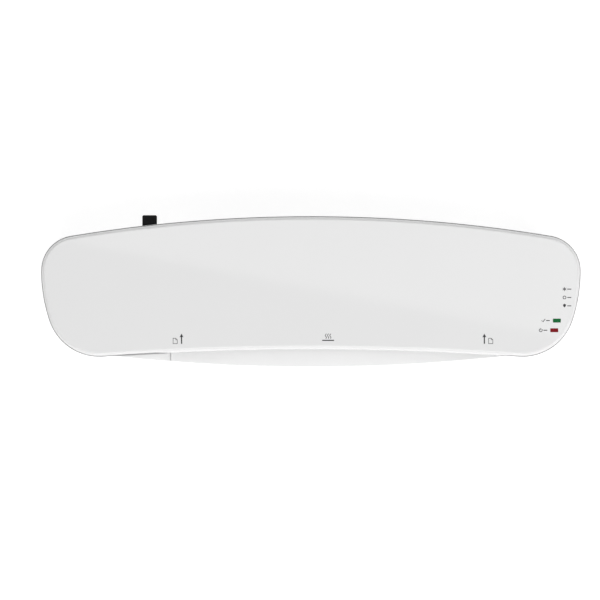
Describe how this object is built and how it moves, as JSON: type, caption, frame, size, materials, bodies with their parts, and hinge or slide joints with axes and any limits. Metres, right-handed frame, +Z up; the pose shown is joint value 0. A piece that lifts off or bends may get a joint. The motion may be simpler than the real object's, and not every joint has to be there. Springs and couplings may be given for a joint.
{
  "type": "pouch laminator",
  "caption": "Low, flat-topped desktop pouch laminator with bowed ends, a front feed lip, heated shoes, a geared pair of silicone rollers, a mode slider and a jam-release lever.",
  "frame": {"origin": "on the table, under the centre of the overall bounding box", "axes": "+X to the right end (controls), +Y to the rear (pouch exit and release lever), +Z up; the pouch is fed in from -Y"},
  "size_m": [0.375, 0.106, 0.0641],
  "materials": {
    "cover_plastic": "gloss",
    "case_plastic": "satin",
    "black_plastic": "satin",
    "foot_rubber": "matte",
    "zinc_steel": "satin",
    "shaft_steel": "polished",
    "black_frame": "satin",
    "bronze": "satin",
    "silicone": "matte",
    "nylon": "satin",
    "shoe_aluminium": "satin",
    "mica_heater": "satin",
    "ceramic": "matte",
    "guide_plastic": "matte",
    "board_laminate": "satin",
    "component_black": "satin",
    "lens_green": "gloss",
    "lens_red": "gloss",
    "led_green": "gloss",
    "led_red": "gloss",
    "wire_blue": "satin",
    "wire_glass_braid": "matte",
    "wire_brown": "satin",
    "wire_red": "satin"
  },
  "bodies": {
    "housing": {"upper_cover": "cover_plastic", "lower_case": "case_plastic", "rubber_feet": "foot_rubber", "case_screws": "zinc_steel", "left_side_frame": "black_frame", "right_side_frame": "black_frame", "frame_screws": "zinc_steel", "spring_caps": "black_frame", "cap_screws": "zinc_steel", "tie_rods": "zinc_steel", "tie_screws": "zinc_steel", "lower_bushings": "bronze", "upper_heating_plate": "shoe_aluminium", "lower_heating_plate": "shoe_aluminium", "upper_heater": "mica_heater", "lower_heater": "mica_heater", "ready_thermostat": "ceramic", "safety_thermostat": "ceramic", "thermostat_screws": "zinc_steel", "thermal_fuse": "ceramic", "upper_exit_guide": "guide_plastic", "lower_exit_guide": "guide_plastic", "lower_heat_shield": "shoe_aluminium", "motor_bracket": "zinc_steel", "motor_standoffs": "bronze", "motor_screws": "zinc_steel", "drive_motor": "zinc_steel", "control_board": "board_laminate", "board_screws": "zinc_steel", "board_parts": "component_black", "ready_led": "led_green", "power_led": "led_red", "ready_lens": "lens_green", "power_lens": "lens_red", "mode_switch": "component_black", "cord_gland": "black_plastic", "terminal_block": "ceramic", "motor_wires": "wire_blue", "upper_heater_wires": "wire_glass_braid", "lower_heater_wires": "wire_glass_braid", "supply_wires": "wire_brown", "logic_wires": "wire_red"},
    "upper_carriage": {"upper_bearing_left": "bronze", "upper_bearing_right": "bronze", "pressure_springs": "zinc_steel"},
    "upper_roller": {"upper_roller_shaft": "shaft_steel", "upper_roller_sleeve": "silicone", "upper_roller_gear": "nylon", "upper_roller_clips": "zinc_steel"},
    "lower_roller": {"lower_roller_shaft": "shaft_steel", "lower_roller_sleeve": "silicone", "lower_roller_gear": "nylon", "lower_roller_clips": "zinc_steel"},
    "motor_drive": {"motor_shaft": "shaft_steel", "motor_pinion": "nylon"},
    "release": {"release_shaft": "shaft_steel", "release_cams": "black_plastic", "release_lever": "black_plastic"},
    "mode_slider": {"mode_knob": "black_plastic"}
  },
  "joints": [
    {"name": "lower_roller_spin", "type": "hinge", "parent": "housing", "child": "lower_roller", "pos_m": [0, 0.008, 0.02395], "axis": [-1, 0, 0], "continuous": true},
    {"name": "release_turn", "type": "hinge", "parent": "housing", "child": "release", "pos_m": [0, 0.027, 0.042], "axis": [-1, 0, 0], "range_deg": [0, 12]},
    {"name": "carriage_lift", "type": "slide", "parent": "housing", "child": "upper_carriage", "axis": [0, 0, 1], "range_m": [0, 0.002], "stiffness_N_per_m": 3000, "springref_m": -0.003, "deforming": ["pressure_springs"]},
    {"name": "upper_roller_spin", "type": "hinge", "parent": "upper_carriage", "child": "upper_roller", "pos_m": [0, 0.008, 0.04405], "axis": [-1, 0, 0], "continuous": true},
    {"name": "motor_spin", "type": "hinge", "parent": "housing", "child": "motor_drive", "pos_m": [0, -0.01213, 0.02991], "axis": [-1, 0, 0], "continuous": true},
    {"name": "mode_slide", "type": "slide", "parent": "housing", "child": "mode_slider", "axis": [0, 1, 0], "range_m": [-0.0058, 0.0058]}
  ],
  "couplings": [
    {"joint": "upper_roller_spin", "follows": "lower_roller_spin", "ratio": -1},
    {"joint": "motor_spin", "follows": "lower_roller_spin", "ratio": -0.90909},
    {"joint": "release_turn", "follows": "carriage_lift", "rad_per_m": 104.7}
  ]
}
